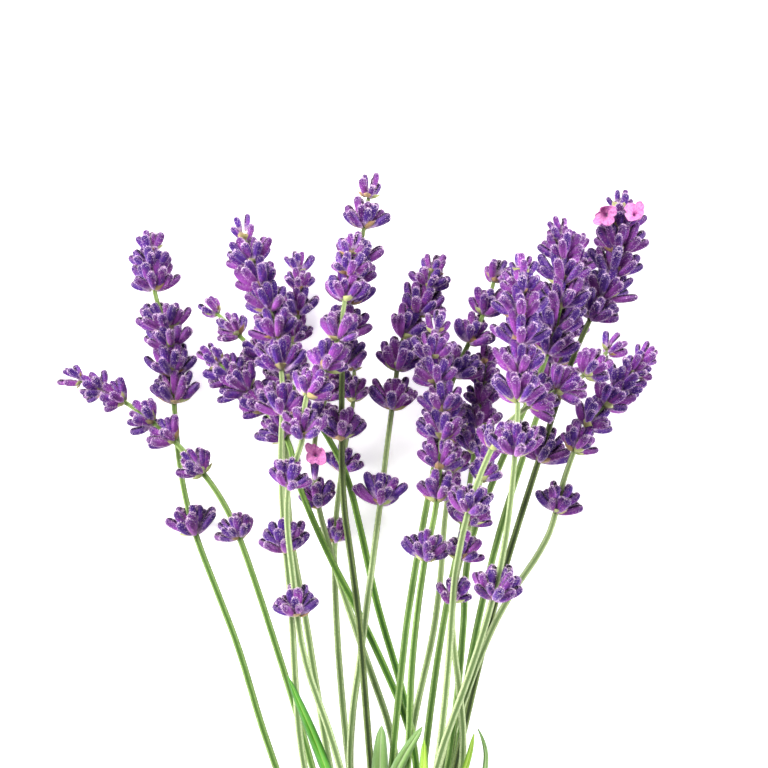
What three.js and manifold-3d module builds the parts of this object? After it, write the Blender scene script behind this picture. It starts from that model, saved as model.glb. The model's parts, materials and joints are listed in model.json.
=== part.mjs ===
// A bunch of dried lavender, tied with twine, lying on a table.
// Millimetres. +Y runs along the bunch to the flower tips, +X is across it, +Z is up.
// The finished group has its origin under the middle of its bounding box, at the table.

import * as THREE from "three";
import { mergeVertices } from "three/addons/utils/BufferGeometryUtils.js";
import Module from "manifold-3d";

// ---- Driving sizes ----------------------------------------------------------------------------

const FLOWER_LENGTH = 218;     // from the tie to the furthest flower tip
const FAN_WIDTH = 148;         // across the fanned flower heads
const TAIL_LENGTH = 62;        // from the tie to the cut ends
const TAIL_FLARE = 1.9;        // how far the cut ends spread, in slots at the tie
const STEM_RADIUS = 1.05;      // to the corners of the four-angled stem
const RACHIS_RADIUS = 0.85;    // the thin axis inside a flower head
const BUD_LENGTH = 6.4;        // height of one whorl of calyces
const BUD_REACH = 1;           // how far the whorls stand out, against the sprigs' own reach
const LEAF_THICKNESS = 0.6;
const TWINE = 1.6;             // thickness of the twine
const TWINE_TURNS = 5;
const TWINE_END = 22;          // length of each free end beside the knot
const COROLLA_RADIUS = 3.3;    // an open flower, to the edge of its lobes
const COROLLA_DEPTH = 3.2;
const PIECE_GAP = 0.3;         // between neighbouring pieces that touch on the real bunch

// ---- Derived sizes ----------------------------------------------------------------------------

const LAY_STEP = 1;                                  // spacing of the points a stem is laid by
const LAY_GAP = PIECE_GAP + 0.1;                     // the laid points stand this far apart
const SLOT_PITCH = 2 * STEM_RADIUS + LAY_GAP;        // between stems side by side in the tie
const TIE_WIDTH = TWINE * TWINE_TURNS;
const TIE_HOLD = TIE_WIDTH / 2 + 2;                  // the stems run straight this far each side of the tie
const TIE_FLOOR = TWINE + PIECE_GAP;                 // the twine lies between the table and the stems

// Shape details that don't change how the pieces fit.
const STEM_SIDES = 4;          // lavender stems are four-angled
const HEAD_SIDES = 8;
const HEAD_FOOT = 1;           // the head begins this far below its lowest whorl
const BUD_LOBE = 0.2;          // how far a whorl is drawn in between its buds
const BRACTS = { height: 0.12, width: 0.55 };        // shares of a whorl's height and width
const BELLY = { height: 0.5, width: 0.94 };
const RIM = { height: 0.86, width: 1 };
const TIP_RIM = 0.5;           // the top whorl closes to a bud
const CUP_FLOOR = 0.95;        // where a lone whorl closes on the rachis again
const CLEAR_RACHIS = 1;        // a shorter bare stretch between whorls is left out
const TIP_SHARE = 0.6;         // the top whorl's width against the widest
const TIP_TAPER = 15;          // the whorls reach full width this far below the tip
const LEAF_SIDES = 6;
const LEAF_FEET = [-1, -0.5, 0, 0.5, 1];
const LEAF_FOOT = 0.3;         // the foot's share of a leaf's width
const LEAF_SWELL = 1.6;         // above 1, a leaf is widest past its middle
const LEAF_BLUNT = 0.5;         // below 1, its tip is rounded
const LEAF_SECTIONS = [0, 0.14, 0.32, 0.52, 0.72, 0.87, 0.96, 1];
const COROLLA_SIDES = 10;
const COROLLA_PROFILE = [[0, 0], [0.24, 0], [0.3, 0.55], [0.72, 0.8], [1, 1],    // outside, then inside
  [0.87, 1], [0.62, 0.9], [0.2, 0.68], [0, 0.62]];
const COROLLA_THROAT = 0.7;    // the lobes begin above this share of the depth
const COROLLA_NOTCH = 0.72;    // how far in the notches between the lobes reach
const SINK_ROUNDS = 14;        // each round lowers an open flower by its gap to the pieces below
const SINK_REACH = 10;
const TIE_SIDES = 24;
const TWINE_DIP = 0.6;         // the tie's thickness between two turns, in thicknesses of twine
const TWINE_SIDES = 5;
const KNOT_SECTIONS = 26;
const KNOT_SHARE = 1.35;       // the knot's radius against the twine's thickness
// The twine's free ends, [x, y] from the knot in lengths of a free end.
const TWINE_ENDS = [[[-0.08, 0], [-0.3, -0.28], [-0.26, -0.9]], [[0.08, 0], [0.36, -0.2], [0.3, -0.85]]];
const TAIL_STAGGER = 1.5;      // the cut ends are uneven by steps of this
const TAIL_STEPS = 7;          // how many different steps there are
const TAIL_SHUFFLE = 5;        // neighbouring stems are this many steps apart
const TAIL_EASE = 8;           // the stems begin to spread this far from where they run straight
const EASE_SHARE = 0.05;
const EASE_ROUNDS = 120;
const DROOP = 0.1;             // how far a piece sinks past its last support, against its length
const ARC_DIVISIONS = 400;
const BEND_TOLERANCE = 0.1;
const MERGE_DISTANCE = 1e-4;
const UP = new THREE.Vector3(0, 0, 1);

// Colours of the pieces.
const STEM_TONES = {
  pale: { colour: "#9fb183", roughness: 0.8 },
  mid: { colour: "#7d9a5c", roughness: 0.8 },
  vivid: { colour: "#5f9440", roughness: 0.75 },
  dark: { colour: "#4f6b35", roughness: 0.8 },
};
const HEAD_TONE = { colour: "#5a2e8f", roughness: 0.9 };
const LEAF_TONES = {
  bright: { colour: "#4fa31c", roughness: 0.6 },
  sage: { colour: "#7fa566", roughness: 0.75 },
  young: { colour: "#a6c422", roughness: 0.6 },
};
const COROLLA_TONE = { colour: "#eba6d9", roughness: 0.7 };
const TWINE_TONE = { colour: "#b79867", roughness: 0.95 };

const wasm = await Module();
wasm.setup();

// ---- The sprigs -------------------------------------------------------------------------------

// Rows of the tied bundle, from the table upwards, each from left to right. A sprig's path is its line
// seen from above, [x, y] from the tie; its whorls are the distances of its flower whorls below its tip;
// reach is how far its widest whorl stands out from the axis; tone is the green of its stem; open lists its
// open flowers, each with its place and the way it faces.
const ROWS = [
  [
    { tone: "mid", reach: 6.3, whorls: [4, 9, 14, 25, 29, 36, 43, 77],
      path: [[-29, 70], [-38.7, 101], [-48.5, 127], [-52, 141], [-54, 160], [-55, 175],
        [-59, 189], [-60, 203]] },
    { tone: "pale", reach: 5, whorls: [4, 9, 15, 22, 30],
      path: [[-15, 70], [-20, 101], [-25, 131], [-25.5, 155], [-24, 175], [-22.5, 186], [-23, 198]] },
    { tone: "pale", reach: 4.5, whorls: [5, 13, 31, 49],
      path: [[-10, 70], [-12, 91], [-13.5, 125], [-11.5, 145], [-8.5, 164], [-9, 174]] },
    { tone: "pale", reach: 5, whorls: [5, 11, 18, 25],
      path: [[5, 70], [9, 91], [12.5, 109], [14.5, 132], [18.5, 161]] },
    { tone: "vivid", reach: 5.2, whorls: [4, 12, 21, 29],
      path: [[7, 70], [-3, 111], [-7, 129], [-12, 146], [-24.5, 165], [-37, 177], [-46, 186]] },
    { tone: "mid", reach: 5.8, whorls: [4, 9, 14, 20, 26, 33, 41],
      path: [[17, 70], [21, 96], [28, 127], [37, 155], [43, 172], [46.5, 188], [48, 203]] },
  ],
  [
    { tone: "mid", reach: 5, whorls: [5, 11, 17, 26, 33, 44, 63],
      path: [[-19.5, 70], [-31.5, 109], [-41.5, 135.5], [-54, 151], [-66, 160.5], [-82, 168]] },
    { tone: "pale", reach: 5.4, whorls: [4, 8, 13, 20, 40],
      path: [[2, 70], [-6.5, 99], [-12, 116], [-17.5, 135], [-18.5, 146], [-17.5, 156],
        [-14.5, 165], [-13, 174]],
      open: [{ place: [-18, 147.5], lean: [0.3, 0.8, 1] }] },
    { tone: "vivid", reach: 6, whorls: [5, 10, 15, 22, 30],
      path: [[7, 70], [-5, 103], [-14, 121], [-22.5, 141], [-25, 151], [-30, 158], [-41, 169],
        [-46, 174]] },
    { tone: "mid", reach: 5.4, whorls: [4, 9, 14, 20, 26, 44],
      path: [[9, 70], [14, 106], [19, 131], [22.5, 154], [25, 174]] },
    { tone: "dark", reach: 6.8, whorls: [5, 10, 16, 22, 28, 34, 72],
      path: [[17.5, 70], [22, 91], [30, 121], [37.5, 145], [43, 162], [50, 180], [55.5, 191],
        [58, 200], [58, 214]],
      open: [{ place: [54.5, 207.5], lean: [-0.8, 0.3, 1] }, { place: [61.5, 207.5], lean: [0.8, 0.3, 1] }] },
  ],
  [
    { tone: "mid", reach: 5.5, whorls: [5, 14, 22, 31, 44],
      path: [[1, 70], [5.5, 111], [10, 136], [15.5, 164], [20, 175], [24, 183], [28, 196]] },
    { tone: "pale", reach: 5.6, whorls: [4, 8, 13, 18, 25, 32, 48],
      path: [[14.5, 70], [20, 89], [28, 108], [40, 127.5], [43.5, 140], [49, 154],
        [57.5, 164], [65.5, 174]] },
    { tone: "mid", reach: 6.8, whorls: [5, 10, 16, 22, 28, 34, 47],
      path: [[15, 70], [18.5, 101], [20.5, 125], [29, 147.5], [39, 171], [43, 186],
        [43.5, 199], [42, 206]] },
    { tone: "pale", reach: 4.8, whorls: [5, 10, 21, 30, 41],
      path: [[18.5, 70], [17, 96], [16, 111], [20.5, 131], [25.5, 151]] },
  ],
  [
    { tone: "pale", reach: 6.3, whorls: [7, 14, 20, 26, 33, 41, 52, 86],
      path: [[-21, 70], [-24, 108], [-26, 131], [-27, 149], [-26, 161], [-28, 179],
        [-35, 199], [-37.5, 208]] },
    { tone: "pale", reach: 6.2, whorls: [4, 8, 15, 22, 30, 40, 64],
      path: [[-9.5, 70], [-6, 104], [-2, 135], [1, 159], [4, 177], [7.5, 183], [10, 190], [12, 197]] },
    { tone: "dark", reach: 5.8, whorls: [6, 14, 23, 28, 33, 41, 49, 67],
      path: [[-4.5, 70], [-7.5, 109], [-11, 136], [-11.5, 152], [-11, 175], [-9, 189],
        [-6, 204], [-4, 218]] },
    { tone: "mid", reach: 5.7, whorls: [5, 12, 18, 25, 32, 39, 47, 62],
      path: [[5, 70], [6, 96], [9, 121], [12, 136], [13, 161], [11, 171], [13, 183]] },
    { tone: "pale", reach: 5.6, whorls: [5, 13, 21, 29, 43, 60],
      path: [[12, 70], [15, 96], [17, 121], [22, 141], [29, 155], [35, 160], [48.5, 167.5], [57.5, 177]] },
  ],
  [
    { tone: "pale", reach: 5.6, whorls: [5, 10, 16, 26, 34, 42, 52, 65, 97],
      path: [[-12, 70], [-21, 99], [-24, 126], [-24.5, 140], [-21, 152], [-20, 162], [-15.5, 169],
        [-12.5, 176], [-10.5, 187], [-9, 202]] },
    { tone: "pale", reach: 6.6, whorls: [4, 9, 15, 21, 28, 35, 48, 84],
      path: [[12, 70], [20.5, 95], [27.5, 120], [31, 148], [32, 170], [33, 196]] },
  ],
];

// The leaves, which lie on the stems, from the left.
const LEAVES = [
  { tone: "bright", width: 4, path: [[-5, 39], [-9.5, 52], [-16, 71], [-25, 92.5]] },
  { tone: "sage", width: 6.4, path: [[0, 40], [-1.5, 54], [-2, 70], [-1.6, 80]] },
  { tone: "sage", width: 4.4, path: [[-5, 50], [-1, 62], [4, 73], [8.5, 80]] },
  { tone: "young", width: 3.7, path: [[6.5, 46], [8.5, 62], [9, 77]] },
  { tone: "young", width: 2.8, path: [[8, 44], [15, 60], [19.5, 70], [21.5, 78]] },
  { tone: "sage", width: 2.2, path: [[9, 41], [19, 56], [24.6, 70], [23.8, 76], [22.5, 79]] },
];

const DRAWN_LENGTH = 218;      // the length and width that all these places are drawn at
const DRAWN_WIDTH = 148;
const stretch = ([x, y]) => [(x * FAN_WIDTH) / DRAWN_WIDTH, (y * FLOWER_LENGTH) / DRAWN_LENGTH];

// ---- Laying the pieces on each other ----------------------------------------------------------

// Every piece that has been laid leaves beads: points with a radius that later pieces rest on.
const beads = [];

// A smooth plan line through the given points, as points one step apart.
function planLine(points) {
  const corners = points.map(([x, y]) => new THREE.Vector3(x, y, 0));
  const curve = new THREE.CatmullRomCurve3(corners, false, "centripetal");
  curve.arcLengthDivisions = ARC_DIVISIONS;
  const count = Math.ceil(curve.getLength() / LAY_STEP);
  return { line: curve.getSpacedPoints(count), step: curve.getLength() / count };
}

// The lowest height at which a foot of this radius clears the table and all that lies there.
function lowestRest(x, y, radius) {
  let height = radius;
  for (const bead of beads) {
    const reach = radius + bead.radius + LAY_GAP;
    const away = (x - bead.x) ** 2 + (y - bead.y) ** 2;
    if (away < reach * reach) {
      height = Math.max(height, bead.z + Math.sqrt(reach * reach - away));
    }
  }
  return height;
}

// A springy stem runs straight from one support to the next: the upper hull over the lowest heights.
function springOver(low, from, to) {
  const supports = [from];
  for (let i = from + 1; i <= to; i += 1) {
    while (supports.length > 1) {
      const b = supports.at(-1);
      const a = supports.at(-2);
      if ((low[b] - low[a]) * (i - a) > (low[i] - low[a]) * (b - a)) break;
      supports.pop();
    }
    supports.push(i);
  }
  const heights = [];
  for (let k = 1; k < supports.length; k += 1) {
    const [a, b] = [supports[k - 1], supports[k]];
    for (let i = a; i < b; i += 1) {
      heights.push(low[a] + ((low[b] - low[a]) * (i - a)) / (b - a));
    }
  }
  heights.push(low[to]);
  return heights;
}

// Rounds the bends without sinking into a support; the stretch inside the tie doesn't move.
function easeBends(heights, low, isHeld) {
  for (let round = 0; round < EASE_ROUNDS; round += 1) {
    for (let i = 1; i < heights.length - 1; i += 1) {
      if (isHeld(i)) continue;
      heights[i] = Math.max(low[i], (heights[i - 1] + 2 * heights[i] + heights[i + 1]) / 4);
    }
  }
}

// Past its last support a piece carries on with only a slight droop, so its tip stands off the table.
function droopPast(low, step) {
  const last = low.length - 1;
  low[last] = Math.max(...low.map((height, i) => height - DROOP * step * (last - i)));
}

// The feet of a section: one under a round stem, a row of them across a flat leaf.
function feetAcross(line, i, halfWidth) {
  if (halfWidth === 0) return [line[i]];
  const next = line[Math.min(i + 1, line.length - 1)];
  const last = line[Math.max(i - 1, 0)];
  const side = new THREE.Vector3().subVectors(next, last).cross(UP).normalize();
  return LEAF_FEET.map((share) => line[i].clone().addScaledVector(side, share * halfWidth));
}

// Lays a piece along its plan line and gives its run: the line in space that its shape is bent along.
function layDown(points, radiusAt, { halfWidthAt = () => 0, tied = false } = {}) {
  const { line, step } = planLine(points);
  const last = line.length - 1;
  const radius = line.map((_, i) => radiusAt(i * step, last * step));
  const feet = line.map((_, i) => feetAcross(line, i, halfWidthAt(i * step, last * step)));
  const low = feet.map((row, i) => Math.max(...row.map((foot) => lowestRest(foot.x, foot.y, radius[i]))));
  droopPast(low, step);
  const isHeld = (i) => tied && Math.abs(line[i].y) <= TIE_HOLD;
  let heights;
  if (tied) {
    const first = line.findIndex((_, i) => isHeld(i));
    const end = line.findLastIndex((_, i) => isHeld(i));
    const held = Math.max(TIE_FLOOR + STEM_RADIUS, ...low.slice(first, end + 1));
    low.fill(held, first, end + 1);
    heights = [...springOver(low, 0, first), ...low.slice(first + 1, end), ...springOver(low, end, last)];
  } else {
    heights = springOver(low, 0, last);
  }
  easeBends(heights, low, isHeld);
  heights.forEach((z, i) => {
    line[i].z = z;
    for (const foot of feet[i]) beads.push({ x: foot.x, y: foot.y, z, radius: radius[i] });
  });
  return new Run(line, step);
}

// ---- Bending a turned shape along a run -------------------------------------------------------

class Run {
  constructor(points, step) {
    this.points = points;
    this.step = step;
    this.length = step * (points.length - 1);
    this.directions = points.map((_, i) => {
      const next = points[Math.min(i + 1, points.length - 1)];
      return new THREE.Vector3().subVectors(next, points[Math.max(i - 1, 0)]).normalize();
    });
  }

  // The point at a distance along the run, with the directions across it and up from it.
  frame(distance) {
    const place = THREE.MathUtils.clamp(distance / this.step, 0, this.points.length - 1);
    const i = Math.min(Math.floor(place), this.points.length - 2);
    const point = this.points[i].clone().lerp(this.points[i + 1], place - i);
    const along = this.directions[i].clone().lerp(this.directions[i + 1], place - i).normalize();
    const side = along.clone().cross(UP).normalize();
    const up = side.clone().cross(along);
    return { point, side, up };
  }

  // Distances from `from` to `to` where a section is needed, so that straight pieces follow the bends.
  sections(from, to) {
    const chosen = [from];
    let start = from;
    for (let here = from + 2 * this.step; here < to; here += this.step) {
      if (this.bow(start, here) > BEND_TOLERANCE) {
        start = here - this.step;
        chosen.push(start);
      }
    }
    return [...chosen, to];
  }

  // How far the run bows away from the straight line between two distances.
  bow(from, to) {
    const chord = new THREE.Line3(this.frame(from).point, this.frame(to).point);
    const nearest = new THREE.Vector3();
    let most = 0;
    for (let here = from + this.step; here < to; here += this.step) {
      const { point } = this.frame(here);
      most = Math.max(most, chord.closestPointToPoint(point, true, nearest).distanceTo(point));
    }
    return most;
  }
}

// A turned shape from rings { at, radius, lobe }, bent along a run. A lobe of 0.2 draws the ring in by that
// share between its corners, and its sign says which corners stand out. `press` flattens it into a leaf.
function turnAlong(run, rings, sides, press = 1) {
  const profile = rings.map(({ at, radius }) => new THREE.Vector2(radius, at));
  const geometry = new THREE.LatheGeometry(profile, sides);
  const place = geometry.attributes.position;
  for (let i = 0; i < place.count; i += 1) {
    const { at, radius, lobe = 0 } = rings[i % rings.length];
    const corner = Math.floor(i / rings.length) % sides;
    const angle = (2 * Math.PI * corner) / sides;
    const drawn = radius * (1 - Math.max(0, corner % 2 ? lobe : -lobe));
    const { point, side, up } = run.frame(at);
    point.addScaledVector(side, drawn * Math.sin(angle));
    point.addScaledVector(up, drawn * Math.cos(angle) * press);
    place.setXYZ(i, point.x, point.y, point.z);
  }
  return closed(geometry);
}

// The same geometry with the vertices of its seam and its poles merged, as one closed skin.
function closed(geometry) {
  geometry.deleteAttribute("normal");
  geometry.deleteAttribute("uv");
  const merged = mergeVertices(geometry, MERGE_DISTANCE);
  merged.computeVertexNormals();
  return merged;
}

// ---- Stems ------------------------------------------------------------------------------------

function stemShape(run, to) {
  return turnAlong(run, roundRod(run, to, STEM_RADIUS), STEM_SIDES);
}

// ---- Flower heads -----------------------------------------------------------------------------

// The rings of a flower head from its foot to its tip: each whorl is a lobed cup of buds, from the bracts
// at its base to the rim of its bud tips.
function headRings({ reach, whorls }, length) {
  const distances = whorls.toReversed();
  const foot = length - distances[0] - HEAD_FOOT;
  const rings = [{ at: foot, radius: 0 }, { at: foot, radius: STEM_RADIUS }];
  distances.forEach((distance, k) => {
    const base = length - distance;
    const room = distance - (distances[k + 1] ?? 0);
    const height = Math.min(BUD_LENGTH, room);
    const fullness = TIP_SHARE + (1 - TIP_SHARE) * Math.min(1, distance / TIP_TAPER);
    const width = reach * BUD_REACH * fullness;
    const lobe = k % 2 ? BUD_LOBE : -BUD_LOBE;
    const rimWidth = k === distances.length - 1 ? TIP_RIM : RIM.width;
    if (rings.at(-1).at < base - CLEAR_RACHIS) rings.push({ at: base, radius: RACHIS_RADIUS });
    rings.push({ at: base + BRACTS.height * height, radius: BRACTS.width * width });
    rings.push({ at: base + BELLY.height * height, radius: BELLY.width * width, lobe });
    rings.push({ at: base + RIM.height * height, radius: rimWidth * width, lobe: -lobe });
    if (room > height + CLEAR_RACHIS) rings.push({ at: base + CUP_FLOOR * height, radius: RACHIS_RADIUS });
  });
  rings.push({ at: length, radius: 0 });
  return { foot, rings };
}

// The radius of a ringed shape at a distance along it.
function radiusOf(rings, at) {
  const k = rings.findIndex((ring) => ring.at > at);
  if (k < 1) return k < 0 ? rings.at(-1).radius : STEM_RADIUS;
  const [a, b] = [rings[k - 1], rings[k]];
  const share = (at - a.at) / (b.at - a.at);
  return a.radius + (b.radius - a.radius) * share;
}

// ---- Leaves, open flowers and the twine --------------------------------------------------------

// A narrow leaf's half width at a share of its length: a thin foot, a swell, and a point.
function leafHalfWidth(share, width) {
  const swell = Math.max(0, Math.sin(Math.PI * share ** LEAF_SWELL)) ** LEAF_BLUNT;
  return (width / 2) * (LEAF_FOOT * (1 - share) + (1 - LEAF_FOOT) * swell);
}

function leafMesh(name, { width, tone, path }) {
  const halfWidthAt = (at, length) => leafHalfWidth(at / length, width);
  const run = layDown(path.map(stretch), () => LEAF_THICKNESS / 2, { halfWidthAt });
  const rings = LEAF_SECTIONS.map((share) => ({
    at: share * run.length,
    radius: leafHalfWidth(share, width),
  }));
  const skin = turnAlong(run, [{ at: 0, radius: 0 }, ...rings], LEAF_SIDES, LEAF_THICKNESS / width);
  return mesh(name, skin, LEAF_TONES[tone]);
}

// Lowers a mesh until it is PIECE_GAP away from the nearest of some laid pieces.
function sinkOnto(piece, laid) {
  const seats = laid.map(({ geometry }) => solid(geometry));
  for (let round = 0; round < SINK_ROUNDS; round += 1) {
    piece.updateMatrix();
    const shape = solid(piece.geometry.clone().applyMatrix4(piece.matrix));
    const gap = Math.min(...seats.map((seat) => shape.minGap(seat, SINK_REACH)));
    piece.position.z -= gap - PIECE_GAP;
  }
}

// An open flower: a short tube that spreads into five lobes, a thin cup with the tube closed below.
// It rests on the pieces laid before it, of which its own head is the nearest.
function corollaMesh(name, { place: plan, lean }, laid) {
  const [x, y] = stretch(plan);
  const size = new THREE.Vector2(COROLLA_RADIUS, COROLLA_DEPTH);
  const profile = COROLLA_PROFILE.map(([out, up]) => new THREE.Vector2(out, up).multiply(size));
  const geometry = new THREE.LatheGeometry(profile, COROLLA_SIDES);
  const place = geometry.attributes.position;
  for (let i = 0; i < place.count; i += 1) {
    const corner = Math.floor(i / profile.length) % COROLLA_SIDES;
    const isLobe = COROLLA_PROFILE[i % profile.length][1] > COROLLA_THROAT;
    const drawn = corner % 2 && isLobe ? COROLLA_NOTCH : 1;
    place.setX(i, place.getX(i) * drawn);
    place.setZ(i, place.getZ(i) * drawn);
  }
  geometry.translate(0, -COROLLA_DEPTH / 2, 0);
  const flower = mesh(name, closed(geometry), COROLLA_TONE);
  flower.quaternion.setFromUnitVectors(new THREE.Vector3(0, 1, 0), new THREE.Vector3(...lean).normalize());
  flower.position.set(x, y, lowestRest(x, y, COROLLA_RADIUS));
  sinkOnto(flower, laid);
  beads.push({ x, y, z: flower.position.z, radius: COROLLA_RADIUS });
  return flower;
}

// The twine: turns side by side round the hull of the stems, PIECE_GAP away from them.
function tieMesh(name, centres) {
  const section = [[0, -TIE_WIDTH / 2], [TWINE_DIP * TWINE, -TIE_WIDTH / 2]];
  for (let turn = 0; turn < TWINE_TURNS; turn += 1) {
    const middle = (turn + 0.5) * TWINE - TIE_WIDTH / 2;
    section.push([TWINE, middle], [TWINE_DIP * TWINE, middle + TWINE / 2]);
  }
  section.push([0, TIE_WIDTH / 2], [0, -TIE_WIDTH / 2]);
  const profile = section.map(([out, y]) => new THREE.Vector2(1 + out, y));
  const geometry = new THREE.LatheGeometry(profile, TIE_SIDES);
  const place = geometry.attributes.position;
  for (let i = 0; i < place.count; i += 1) {
    const corner = Math.floor(i / section.length) % TIE_SIDES;
    const angle = (2 * Math.PI * corner) / TIE_SIDES;
    const [out, y] = section[i % section.length];
    const toward = new THREE.Vector2(Math.sin(angle), Math.cos(angle));
    const outermost = centres.reduce((best, next) => (next.dot(toward) > best.dot(toward) ? next : best));
    const edge = outermost.clone().addScaledVector(toward, STEM_RADIUS + PIECE_GAP + out);
    place.setXYZ(i, edge.x, y, edge.y);
    if (out === TWINE) {
      const strand = edge.clone().addScaledVector(toward, -TWINE / 2);
      beads.push({ x: strand.x, y, z: strand.y, radius: TWINE / 2 });
    }
  }
  return mesh(name, closed(geometry), TWINE_TONE);
}

// A solid for joining and measuring, from a closed geometry.
function solid(geometry) {
  const skin = closed(geometry);
  return new wasm.Manifold(new wasm.Mesh({
    numProp: 3,
    vertProperties: new Float32Array(skin.attributes.position.array),
    triVerts: new Uint32Array(skin.index.array),
  }));
}

function geometryOf(manifold) {
  const { vertProperties, triVerts } = manifold.getMesh();
  const geometry = new THREE.BufferGeometry();
  geometry.setAttribute("position", new THREE.BufferAttribute(vertProperties, 3));
  geometry.setIndex(new THREE.BufferAttribute(triVerts, 1));
  geometry.computeVertexNormals();
  return geometry;
}

// The knot on top of the tie: an overhand knot with its two free ends lying on the stems.
function knotMesh(name, top) {
  const strand = TWINE / 2;
  const size = KNOT_SHARE * TWINE;
  const height = top + PIECE_GAP + strand + size / 2;
  const knot = new THREE.TorusKnotGeometry(size, strand, KNOT_SECTIONS, TWINE_SIDES, 2, 3);
  knot.translate(0, 0, height);
  const whole = TWINE_ENDS.reduce((joined, end) => joined.add(solid(looseEnd(end, height))), solid(knot));
  return mesh(name, geometryOf(whole), TWINE_TONE);
}

// One free end, from inside the knot down to where it lies.
function looseEnd(path, height) {
  const strand = TWINE / 2;
  const { line, step } = planLine(path.map(([x, y]) => [x * TWINE_END, y * TWINE_END]));
  const low = line.map((point) => lowestRest(point.x, point.y, strand));
  low[0] = height;
  const heights = springOver(low, 0, line.length - 1);
  easeBends(heights, low, () => false);
  heights.forEach((z, i) => line[i].setZ(z));
  const run = new Run(line, step);
  return turnAlong(run, roundRod(run, run.length, strand), TWINE_SIDES);
}

// The rings of a rod of one thickness, flat at both ends.
function roundRod(run, to, radius) {
  const rings = run.sections(0, to).map((at) => ({ at, radius }));
  return [{ at: 0, radius: 0 }, ...rings, { at: to, radius: 0 }];
}

function mesh(name, geometry, { colour, roughness }) {
  const material = new THREE.MeshStandardMaterial({ color: colour, roughness, metalness: 0 });
  const piece = new THREE.Mesh(geometry, material);
  piece.name = name;
  return piece;
}

// ---- The bunch --------------------------------------------------------------------------------

// A sprig's whole plan line: its flared tail, the straight stretch in the tie, then its own path.
function sprigLine(slot, path, order) {
  const [first] = path;
  const tailEnd = -TAIL_LENGTH + TAIL_STAGGER * ((order * TAIL_SHUFFLE) % TAIL_STEPS);
  const tailX = slot * TAIL_FLARE;
  return [
    [tailX, tailEnd],
    [slot + (tailX - slot) * EASE_SHARE, -TIE_HOLD - TAIL_EASE],
    [slot, -TIE_HOLD],
    [slot, 0],
    [slot, TIE_HOLD],
    [slot + (first[0] - slot) * EASE_SHARE, TIE_HOLD + TAIL_EASE],
    ...path,
  ];
}

const bunch = new THREE.Group();
const tieCentres = [];
let order = 0;
let openFlowers = 0;
for (const row of ROWS) {
  row.forEach((sprig, place) => {
    order += 1;
    const number = String(order).padStart(2, "0");
    const slot = (place - (row.length - 1) / 2) * SLOT_PITCH;
    const path = sprigLine(slot, sprig.path.map(stretch), order);
    const { line, step } = planLine(path);
    const length = step * (line.length - 1);
    const { foot, rings } = headRings(sprig, length);
    const run = layDown(path, (at) => (at < foot ? STEM_RADIUS : radiusOf(rings, at)), { tied: true });
    const middle = run.points.find((point) => point.y >= 0);
    tieCentres.push(new THREE.Vector2(middle.x, middle.z));
    bunch.add(mesh(`stem_${number}`, stemShape(run, foot - PIECE_GAP), STEM_TONES[sprig.tone]));
    bunch.add(mesh(`flower_head_${number}`, turnAlong(run, rings, HEAD_SIDES), HEAD_TONE));
    for (const flower of sprig.open ?? []) {
      openFlowers += 1;
      bunch.add(corollaMesh(`open_flower_${openFlowers}`, flower, bunch.children));
    }
  });
}
const tie = tieMesh("twine_tie", tieCentres);
bunch.add(tie);
const tieTop = new THREE.Box3().setFromObject(tie).max.z;
bunch.add(knotMesh("twine_knot", tieTop));
LEAVES.forEach((leaf, i) => bunch.add(leafMesh(`leaf_${i + 1}`, leaf)));

// The origin: under the middle of the bunch's box, at the table.
const box = new THREE.Box3().setFromObject(bunch, true);
const centre = box.getCenter(new THREE.Vector3());
bunch.position.set(-centre.x, -centre.y, -box.min.z);

export default bunch;
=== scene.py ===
# %% [markdown]
# # A tied bunch of lavender, lying on a pale table
#
# Twenty-two cut stems are held by jute twine and lie fanned out. Each stem runs on
# into a flower head: rings of velvety calyces, called whorls, sitting in small
# papery bracts. The bunch is built plant by plant, from the inside out: stem,
# bracts, calyces, and then the leaves, the open flowers and the twine.
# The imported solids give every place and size, so this file only adds the detail.

import json

import bpy
import numpy as np
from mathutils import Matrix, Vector


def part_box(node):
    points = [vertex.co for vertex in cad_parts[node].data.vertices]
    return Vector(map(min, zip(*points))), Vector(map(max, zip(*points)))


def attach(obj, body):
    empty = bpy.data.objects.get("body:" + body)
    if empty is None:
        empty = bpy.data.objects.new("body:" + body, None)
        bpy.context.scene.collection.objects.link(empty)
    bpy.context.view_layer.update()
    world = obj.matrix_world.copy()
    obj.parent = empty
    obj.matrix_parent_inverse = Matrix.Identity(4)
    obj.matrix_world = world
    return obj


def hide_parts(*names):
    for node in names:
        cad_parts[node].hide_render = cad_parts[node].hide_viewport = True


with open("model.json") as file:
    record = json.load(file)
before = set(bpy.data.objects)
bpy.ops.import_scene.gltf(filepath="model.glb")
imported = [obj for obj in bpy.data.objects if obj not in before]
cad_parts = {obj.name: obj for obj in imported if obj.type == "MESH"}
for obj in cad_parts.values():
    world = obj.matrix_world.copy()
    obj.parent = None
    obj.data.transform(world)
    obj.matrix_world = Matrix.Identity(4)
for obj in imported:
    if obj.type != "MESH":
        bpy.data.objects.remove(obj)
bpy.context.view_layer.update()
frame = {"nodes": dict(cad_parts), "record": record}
MM = 0.001


# %% [markdown]
# ## Reading a plant's line from its solid
#
# Every grown piece is a turned solid: a closed skin of rings round one bent
# line, with a single point at each end. Walking over the skin from an end point
# meets one ring after another. Each ring's middle is a point on the plant's own
# line, and its corners tell how thick the piece is there. This way needs no
# second copy of the sizes.

# %% Welded corners and rings of a turned solid
WELD_DIGITS = 7


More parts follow.
